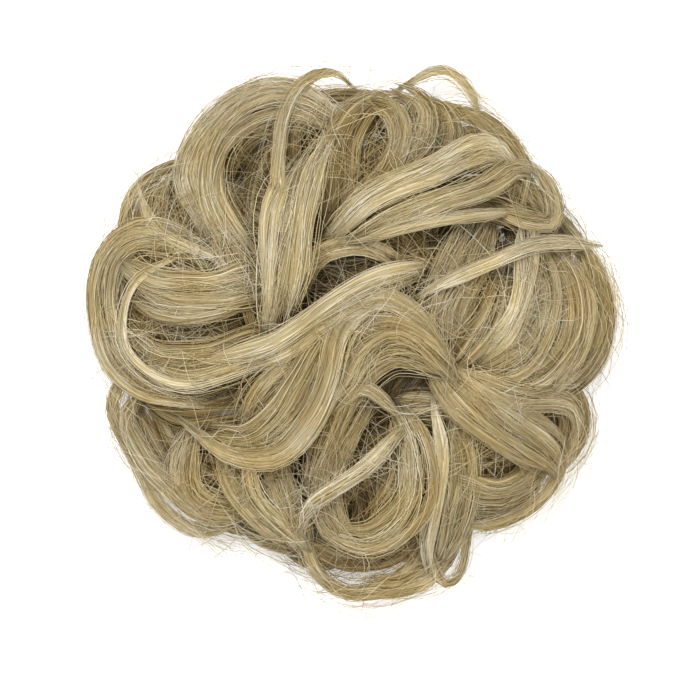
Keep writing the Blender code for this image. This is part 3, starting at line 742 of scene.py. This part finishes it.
def dress_lock(rng, bundle, path, side, up, half_width, half_height, tone, density=1.0):
    """A lock: wisps side by side that cross slowly, each an oval body with strands on it and round it.

    A point is path + side across half_width + up height half_height. A strand goes round its wisp at
    across + size cos(a) and height + size sin(a), where a drifts; a loose one has a larger size. Some
    strands stray off their wisp, and some cross the lock from one edge towards the other.
    """
    steps = len(path)
    s = np.linspace(0, 1, steps)
    full = 2 * half_width.max()
    wisps = int(np.clip(round(full / WISP_WIDTH * min(1, 0.5 + density / 2)), 1, MOST_WISPS))
    centres = (np.arange(wisps) + 0.5) / wisps * 2 - 1
    across = centres[:, None] * (1 - 0.4 / wisps) + 1.5 / wisps * wave(rng, wisps, steps, 0.2, 0.8)
    height = 0.55 * np.sqrt(np.clip(1 - across**2, 0.05, 1)) + 0.42 * wave(rng, wisps, steps, 0.3, 1.0)
    ends = rng.uniform(0.03, 0.18, (wisps, 2))
    taper = np.clip(np.minimum(s - ends[:, :1], 1 - ends[:, 1:] - s) / 0.20, 0, 1)
    taper = 0.06 + 0.94 * np.sin(taper * math.pi / 2)
    wide = rng.uniform(1.0, 1.7, (wisps, 1)) / wisps * taper
    high = rng.uniform(0.36, 0.56, (wisps, 1)) * taper

    # The body is darker than its lock's strands: painted shade in the gaps between the strands.
    shaded_body_tone = tone / 100 - BODY_PAINTED_SHADE + rng.normal(0, BODY_SPREAD, (wisps, 1))
    shaded_body_tone = shaded_body_tone + TONE_DRIFT * wave(rng, wisps, steps, 0.5, 1.5)
    bundle.add(
        path + side * (across * half_width)[..., None] + up * (height * half_height)[..., None],
        wide * half_width, high * half_height, WISP_SIDES, shaded_body_tone, 1,
        np.broadcast_to(up, (wisps, steps, 3)),
    )

    # The strands have every second of the lock's steps
    path, side, up = path[::2], side[::2], up[::2]
    half_width, half_height = half_width[::2], half_height[::2]
    across, height, wide, high = (part[:, ::2] for part in (across, height, wide, high))
    s = s[::2]
    steps = len(s)
    count = int(np.clip(full / STRAND_SPACING * density, *STRANDS_RANGE))
    owner = rng.integers(0, wisps, count)
    turn = rng.uniform(0.02, 0.98, (count, 1)) * math.pi + 0.5 * wave(rng, count, steps, 0.3, 1.2)
    turn = np.where(rng.uniform(0, 1, (count, 1)) < UNDERNEATH_SHARE, turn + math.pi, turn)
    loose = rng.uniform(0, 1, (count, 1))
    size = 1.0 + 0.14 * rng.uniform(0, 1, (count, 1))
    away = rng.uniform(0.2, 1.3, (count, 1)) * (0.6 + 0.4 * wave(rng, count, steps, 0.4, 1.3))
    size = np.where(loose > 1 - LOOSE_SHARE, size + away, size)
    fly = loose > 1 - FLYAWAY_SHARE
    size = np.where(fly, size * (1 + rng.uniform(0.3, 1.0, (count, 1)) * wisps * 0.45), size)
    belly = 0.25 + 0.75 * np.sin(math.pi * s) ** 0.6
    close = np.maximum(wide[owner], 0.45 / wisps) * np.minimum(size, CLOSE_SIZE)
    lie = across[owner] + np.cos(turn) * (close + np.maximum(size - CLOSE_SIZE, 0) / wisps * belly)
    lift = height[owner] + np.sin(turn) * (high[owner] * size + np.where(fly, 0.25 * belly, 0))
    stray = rng.uniform(0, 1, (count, 1)) < STRAY_SHARE
    lie = np.where(stray, lie + rng.normal(0, 0.45, (count, 1)) * belly, lie)
    lift = np.where(stray, lift + rng.uniform(-0.3, 0.9, (count, 1)) * belly, lift)
    farthest = 1 + FARTHEST_STRAY / np.maximum(half_width, 1e-4) * belly
    lie = np.clip(lie, -farthest, farthest)
    crosses = rng.uniform(0, 1, (count, 1)) < CROSSING_SHARE
    lie = np.where(crosses, np.clip(lie + rng.normal(0, 0.55, (count, 1)) * (2 * s - 1), -1.25, 1.25), lie)
    lift = np.where(crosses, np.maximum(lift, 0.95 * np.sqrt(np.clip(1.2 - lie**2, 0.05, 1)) + 0.1), lift)
    points = path + side * (lie * half_width)[..., None] + up * (lift * half_height)[..., None]
    trim = rng.uniform(0, 0.16, (count, 2)) ** 1.3
    points = resample(points, trim[:, :1] + (1 - trim.sum(axis=1, keepdims=True)) * s)
    tones = strand_tones(rng, count, tone)[:, None] + TONE_DRIFT * wave(rng, count, steps, 0.5, 1.5)
    radii = fibre_radii(rng, count, steps, FIBRE_RADIUS) * np.where(fly, 0.6, 1.0)
    bundle.add(points, radii, radii, STRAND_SIDES, tones, 0)


def resample(points, where):
    """Each row of points read at its own shares of the way along, between its nearest two."""
    steps = points.shape[1]
    place = np.clip(where, 0, 1) * (steps - 1)
    low = np.minimum(place.astype(int), steps - 2)
    part = (place - low)[..., None]
    rows = np.arange(len(points))[:, None]
    return points[rows, low] * (1 - part) + points[rows, low + 1] * part


def with_tips(route):
    """The route made longer at each end, along its own direction, and less so near the bun's rim."""
    ends = []
    for last, before in ((route[0], route[1]), (route[-1], route[-2])):
        way = (last - before) / np.linalg.norm(last - before)
        inside = np.linalg.norm(last + way * TIP_LENGTH) < TIPS_WITHIN * BUN_RADIUS
        ends.append(last + way * TIP_LENGTH * (1.0 if inside else RIM_TIP_SHARE))
    return np.vstack([ends[0], route, ends[1]])


def lock_frame(hair_map, route, full, thickness, target_of, arch_power=ARCH_POWER, dive=END_DIVE):
    """A lock's middle line with its side and up directions, laid on what is beneath it.

    Its height arches from its ends towards its target and is never below the map's, apart from its ends,
    which dive into the hair that they lie on.
    """
    route = with_tips(np.array(route, float))
    rough = spline(route, ROUGH_SAMPLES)
    pieces = np.diff(rough, axis=0)
    length = np.linalg.norm(pieces, axis=1).sum()
    heading = np.unwrap(np.arctan2(pieces[:, 1], pieces[:, 0]))
    turning = np.abs(np.diff(heading)).sum()
    wanted = round(max(length / STRAND_STEP, turning / STRAND_TURN))
    steps = 2 * int(np.clip(wanted, *STEPS_RANGE)) + 1
    flat = spline(route, steps)
    s = np.linspace(0, 1, steps)
    taper = np.sin(np.clip(np.minimum(s, 1 - s) / TAPER_SHARE, 0, 1) * math.pi / 2)
    taper = END_SIZE_SHARE + (1 - END_SIZE_SHARE) * taper
    half_width = full / 2 * taper
    half_height = thickness / 2 * taper
    tangent = normalised(np.gradient(flat, axis=0))
    normal = np.stack([-tangent[:, 1], tangent[:, 0]], axis=1)
    radius = np.linalg.norm(flat, axis=1)
    outward = flat / np.maximum(radius, 1e-6)[:, None]
    tilt = TILT_SHARE * bun_slope(radius) * (normal * outward).sum(axis=1)

    across = np.linspace(-0.9, 0.9, 9)
    x = flat[:, :1] + normal[:, :1] * across * half_width[:, None]
    y = flat[:, 1:] + normal[:, 1:] * across * half_width[:, None]
    rise = tilt[:, None] * across * half_width[:, None]
    need = (hair_map.at(x, y) - rise).max(axis=1) + LAYER_SHARE * half_height
    need = np.maximum(need, smooth(need, 10))
    height = need + np.maximum(target_of(radius, s) - need, 0) * np.sin(s * math.pi) ** arch_power
    for _ in range(SETTLE_ROUNDS):
        height = np.maximum(need - SETTLE_DEPTH, smooth(height, 1))
    height = smooth(height, 12)
    on_hair = smooth(hair_map.hair_at(flat[:, 0], flat[:, 1]).astype(float), 8)
    hair_map.lay(x, y, height[:, None] + rise + LAYER_SHARE * half_height[:, None])
    height = height - dive * on_hair * np.clip(1 - np.minimum(s, 1 - s) / END_SHARE, 0, 1) ** 1.3
    path = np.column_stack([flat, height])
    side = normalised(np.column_stack([normal, tilt]))
    up = normalised(np.cross(normalised(np.gradient(path, axis=0)), side))
    up = np.where(up[:, 2:] < 0, -up, up)
    return path, side, up, half_width, half_height


def dress_front(hair_map, material):
    """Every lock of the front, one piece each, for its solid where the part has one."""
    for index, (name, width, lift, tone, route) in enumerate(LOCKS):
        rng = np.random.default_rng(SEED + index)
        full = WIDER * width / 100 * BUN_RADIUS
        lock = lock_frame(
            hair_map, np.array(route) / 100 * BUN_RADIUS, full, min(LOCK_THICKNESS, THICKEST_SHARE * full),
            lambda radius, s, share=lift / 100: share * bun_height(radius),
        )
        bundle = Bundle()
        dress_lock(rng, bundle, *lock, tone, HIDDEN_DENSITY if tone < HIDDEN_TONE else 1.0)
        piece = bundle.make(f"{name}_strands", material)
        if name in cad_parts:
            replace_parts(piece, name)


def fan_height(_, s):
    """A fan lies low and rises a little towards its tip."""
    return FAN_LIFT + FAN_TIP_RISE * s**2


def roll_height(_, s):
    """A roll falls from the ring's top to its tip, with an arch of ROLL_RISE on the way."""
    return WEFT_HEIGHT + (ROLL_TIP_HEIGHT - WEFT_HEIGHT) * s**1.6 + ROLL_RISE * np.sin(math.pi * s) ** 0.8


def dress_under(hair_map, material):
    """The fans that lie flat at the back and the rolls that arch over them from the ring's top.

    A middle line turns as it leaves the ring: angle = first + turn s^1.3, radius from start to reach.
    """
    weft_outer = PONYTAIL_HOLE_RADIUS + ELASTIC_WIDTH + WEFT_WIDTH
    roll_start = weft_outer - ROLL_OVERLAP_SHARE * WEFT_WIDTH
    rows = [
        # name, seed, count, lead, start, reach, turn, width, height
        ("fan", FAN_SEED, FAN_COUNT, 0.0, weft_outer, FAN_REACH, FAN_SWIRL, FAN_WIDTH, fan_height),
        ("roll", ROLL_SEED, ROLL_COUNT, 0.5, roll_start, ROLL_REACH, ROLL_SWIRL, ROLL_WIDTH, roll_height),
    ]
    s = np.linspace(0, 1, 9)
    for kind, seed, count, lead, start, reach, turn, width, height in rows:
        for k in range(count):
            rng = np.random.default_rng(seed + k)
            angle = 2 * math.pi * (k + lead) / count + turn * s**1.3
            radius = start + (reach - start) * s
            way = np.column_stack([np.cos(angle), np.sin(angle)])
            route = way * radius[:, None] + RING_CENTRE * (1 - s)[:, None]
            full = UNDER_WIDTH_SHARE * width
            lock = lock_frame(hair_map, route, full, UNDER_THICKNESS, height, UNDER_ARCH_POWER, 0.0)
            bundle = Bundle()
            dress_lock(rng, bundle, *lock, UNDER_PAINTED_SHADE_TONE, UNDER_DENSITY)
            name = f"under_{kind}_{k + 1:02d}"
            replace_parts(bundle.make(f"{name}_strands", material), name)


def dress_nest(hair_map, material):
    """Curls that fill the bun under the front ones: oval arcs about places between NEST_NEAR and NEST_FAR.

    The places go round by the golden share of a turn.
    """
    bundle = Bundle()
    rng = np.random.default_rng(NEST_SEED)
    for k in range(NEST_CURLS):
        around = 2 * math.pi * (k * GOLDEN_TURN)
        from_middle = NEST_NEAR + (NEST_FAR - NEST_NEAR) * ((k * GOLDEN_REST * 3) % 1)
        bend = rng.uniform(*NEST_BENDS)
        first = rng.uniform(0, 2 * math.pi)
        angle = first + np.linspace(0, rng.uniform(*NEST_ARCS), 7) * rng.choice([-1, 1])
        middle = from_middle * np.array((math.cos(around), math.sin(around)))
        route = middle + bend * np.column_stack([np.cos(angle), NEST_OVAL * np.sin(angle)])
        far = np.linalg.norm(route, axis=1)
        route *= (np.minimum(far, NEST_REACH) / far)[:, None]
        lock = lock_frame(
            hair_map, route, rng.uniform(*NEST_WIDTHS), NEST_THICKNESS,
            lambda radius, s: NEST_HEIGHT_SHARE * bun_height(radius),
        )
        dress_lock(rng, bundle, *lock, UNDER_PAINTED_SHADE_TONE + rng.uniform(-6, 8), NEST_DENSITY)
    bundle.make("nest_curls", material)


def on_ring(around, turn, size):
    """Points on the weft ring, size of the way from its middle line to its skin, at the angle turn."""
    middle = PONYTAIL_HOLE_RADIUS + ELASTIC_WIDTH + RING_ROOM + WEFT_WIDTH / 2
    radius = middle + size * WEFT_WIDTH / 2 * np.cos(turn)
    x = RING_CENTRE[0] + radius * np.cos(around)
    y = RING_CENTRE[1] + radius * np.sin(around)
    return np.stack([x, y, WEFT_HEIGHT / 2 * (1 + size * np.sin(turn))], axis=-1)


def dress_weft_ring(material):
    """Hair tracks wound round the ring: strands along (R + r cos b) about its axis, b drifting slowly."""
    rng = np.random.default_rng(WEFT_SEED)
    each = (WEFT_STRANDS, 1)
    s = np.linspace(0, 1, WEFT_STRAND_STEPS)
    around = rng.uniform(0, 2 * math.pi, each) + rng.uniform(0.35, 0.7, each) * s
    turn = rng.uniform(0, 2 * math.pi, each) + rng.uniform(0.8, 1.6, each) * s
    radii = fibre_radii(rng, WEFT_STRANDS, WEFT_STRAND_STEPS, 1.5 * FIBRE_RADIUS)
    tones = strand_tones(rng, WEFT_STRANDS, UNDER_PAINTED_SHADE_TONE)[:, None]
    bundle = Bundle()
    bundle.add(on_ring(around, turn, 0.97), radii, radii, STRAND_SIDES, tones, 0)
    # The tracks under the strands are a little darker than the ring's strands: painted shade beneath them.
    lap = np.linspace(0, 2 * math.pi + TRACK_OVERLAP, TRACK_STEPS)[None] * np.ones((WEFT_TRACKS, 1))
    lead = 2 * math.pi * np.arange(WEFT_TRACKS)[:, None] / WEFT_TRACKS * np.ones(TRACK_STEPS)
    size = np.full(lap.shape, TRACK_RADIUS)
    bundle.add(on_ring(lap, lead + 0.5 * lap, 0.72), size, size, 8, UNDER_PAINTED_SHADE_TONE / 100 - 0.06, 1)
    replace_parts(bundle.make("weft_ring_strands", material), "weft_ring")


def bowed_hairs(rng, centre, heading, length, bend):
    """Flat bows of a given length about their centres: heading + bend (s - 1/2), with a slow wave added."""
    hairs = len(centre)
    s = np.linspace(0, 1, HAIR_STEPS)
    turn = heading + bend * (s - 0.5) + 0.35 * wave(rng, hairs, HAIR_STEPS, 0.4, 1.2)
    step = length / (HAIR_STEPS - 1)
    flat = np.stack([np.cumsum(np.cos(turn) * step, axis=1), np.cumsum(np.sin(turn) * step, axis=1)], axis=-1)
    return flat + (centre - flat.mean(axis=1))[:, None]


def add_hairs(rng, bundle, flat, z, radius, darkest, palest):
    """Fine single hairs of a pale tone along flat, at the heights z."""
    hairs = len(flat)
    radii = fibre_radii(rng, hairs, HAIR_STEPS, radius)
    tones = rng.uniform(darkest, palest, (hairs, 1)) * np.ones(HAIR_STEPS)
    points = np.stack([flat[..., 0], flat[..., 1], np.maximum(z, LOWEST_HAIR)], axis=-1)
    bundle.add(points, radii, radii, STRAND_SIDES, tones, 0)


def dress_hollows(hair_map, material):
    """Single fine hairs, like a net: many across each hollow and some over the whole front.

    Each is a flat bow that rises over the locks beneath by up to HAIR_RISE in its middle and dips at its
    tips. Those that pass over the dark hole, right of the middle, are sunk into it.
    """
    bundle = Bundle()
    whole = (0, 0, 70, 70, FRONT_HAIRS)
    blanket = hair_map.blanket(HAIR_BRIDGE)
    s = np.linspace(0, 1, HAIR_STEPS)
    for index, (across, up, half_width, half_height, hairs) in enumerate([*HOLLOWS, whole]):
        rng = np.random.default_rng(HOLLOW_SEED + index)
        middle = np.array((across, up)) / 100 * BUN_RADIUS
        size = np.array((half_width, half_height)) / 100 * BUN_RADIUS
        centre = middle + np.clip(rng.normal(0, 0.55, (hairs, 2)), -1.2, 1.2) * size
        heading = rng.uniform(0, math.pi, (hairs, 1))
        length = rng.uniform(*HAIR_LENGTHS, (hairs, 1))
        flat = bowed_hairs(rng, centre, heading, length, length / 0.020 * rng.normal(0, 1.2, (hairs, 1)))
        top = blanket[hair_map.cells(flat[..., 0], flat[..., 1])]
        z = smooth(top, 2) + rng.uniform(0.0, HAIR_RISE, (hairs, 1)) * np.sin(math.pi * s)
        z = z - HAIR_DIP * np.clip(1 - np.minimum(s, 1 - s) / 0.12, 0, 1)
        off_hole = np.hypot(flat[..., 0] - DARK_HOLE[0], flat[..., 1] - DARK_HOLE[1])
        sunk = off_hole.min(axis=1, keepdims=True) < DARK_HOLE_RADIUS
        add_hairs(rng, bundle, flat, z - DARK_HOLE_DEPTH * sunk, HOLLOW_HAIR_RADIUS, 0.35, 0.95)
    bundle.make("crossing_hairs", material)


def dress_rim(hair_map, material):
    """Flyaways round the outline: bows about places on the bun's edge, found on the map of heights.

    Along each ray from the middle, the edge is the farthest square of RIM_SEARCH that holds hair.
    """
    rng = np.random.default_rng(RIM_SEED)
    bundle = Bundle()
    each = (RIM_HAIRS, 1)
    around = np.sort(rng.uniform(0, 2 * math.pi, RIM_HAIRS)) + 0.25 * wave(rng, 1, RIM_HAIRS, 2, 5)[0]
    way = np.column_stack([np.cos(around), np.sin(around)])
    radii = np.arange(*RIM_SEARCH, CELL)
    ray = way[:, None] * radii[None, :, None]
    inside = hair_map.hair_at(ray[..., 0], ray[..., 1])
    edge = radii[0] + CELL * (inside * np.arange(len(radii))).max(axis=1)
    off = rng.gamma(1.2, 0.0013, RIM_HAIRS) - 0.0010
    centre = way * (edge + np.clip(off, -0.002, 0.0035))[:, None]
    heading = around[:, None] + math.pi / 2 + rng.normal(0, 0.3, each)
    length = rng.uniform(*RIM_HAIR_LENGTHS, each)
    bend = length / 0.030 * rng.uniform(0.4, 1.5, each)
    flat = bowed_hairs(rng, centre, heading, length, bend)
    z = rng.uniform(*RIM_HAIR_HEIGHTS, each) + 0.004 * wave(rng, RIM_HAIRS, HAIR_STEPS, 0.3, 0.8)
    add_hairs(rng, bundle, flat, z, RIM_HAIR_RADIUS, 0.4, 1.0)
    bundle.make("rim_flyaways", material)


def paper_floor():
    """A white paper sweep that the piece lies on: matt, nearly white."""
    half, z = FLOOR_HALF, -FLOOR_GAP
    mesh = bpy.data.meshes.new("floor")
    corners = [(-half, -half, z), (half, -half, z), (half, half, z), (-half, half, z)]
    mesh.from_pydata(corners, [], [(0, 1, 2, 3)])
    looks = {
        "Base Color": linear("fdfdfd"), "Roughness": 0.9, "Specular IOR Level": 0.1,
        "Emission Color": (1, 1, 1, 1), "Emission Strength": 0.25,
    }
    material = new_material("white_paper", looks)[0]
    mesh.materials.append(material)
    floor = bpy.data.objects.new("floor", mesh)
    bpy.context.scene.collection.objects.link(floor)


def soft_light(name, place, size, power):
    """A square area lamp that faces the bun."""
    lamp = bpy.data.lights.new(name, "AREA")
    lamp.size = size
    lamp.energy = power
    holder = bpy.data.objects.new(name, lamp)
    holder.location = place
    aim = np.array(LAMP_AIM) - np.array(place)
    holder.rotation_euler = (
        math.acos(-aim[2] / np.linalg.norm(aim)),
        0,
        math.atan2(aim[0], -aim[1]) + math.pi,
    )
    bpy.context.scene.collection.objects.link(holder)


def studio():
    """Even white light all round, a large lamp from the upper left and a weaker one from the right."""
    world = bpy.data.worlds.new("white_studio")
    world.use_nodes = True
    background = world.node_tree.nodes["Background"]
    background.inputs["Color"].default_value = (1, 1, 1, 1)
    background.inputs["Strength"].default_value = 0.60
    bpy.context.scene.world = world
    bpy.context.scene.view_settings.view_transform = "Standard"
    soft_light("key", (-0.30, 0.38, 1.30), 0.50, 15)
    soft_light("fill", (0.45, -0.35, 1.20), 0.80, 8)


def photo_camera():
    """The photograph's view: straight down on the front through a long lens."""
    frame_width = FRAME_PIXELS * PIXEL
    camera = bpy.data.cameras.new("photo")
    camera.sensor_width = SENSOR_MM
    camera.lens = SENSOR_MM * CAMERA_DISTANCE / frame_width
    camera.clip_end = 20
    offset = (FRAME_PIXELS / 2 - BUN_MIDDLE_PIXEL) * np.array((1, -1)) * PIXEL
    holder = bpy.data.objects.new("photo", camera)
    holder.location = (*(MIDDLE + offset), FOCUS_HEIGHT + CAMERA_DISTANCE)
    bpy.context.scene.collection.objects.link(holder)
    bpy.context.scene.camera = holder


def main():
    fibre = synthetic_fibre()
    hair_map = HairMap()
    dress_weft_ring(fibre)
    dress_under(hair_map, fibre)
    dress_nest(hair_map, fibre)
    dress_front(hair_map, fibre)
    dress_hollows(hair_map, fibre)
    dress_rim(hair_map, fibre)
    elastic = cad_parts["elastic_band"]
    for material_slot in elastic.material_slots:
        material_slot.material = woven_elastic()
    paper_floor()
    studio()
    photo_camera()


main()
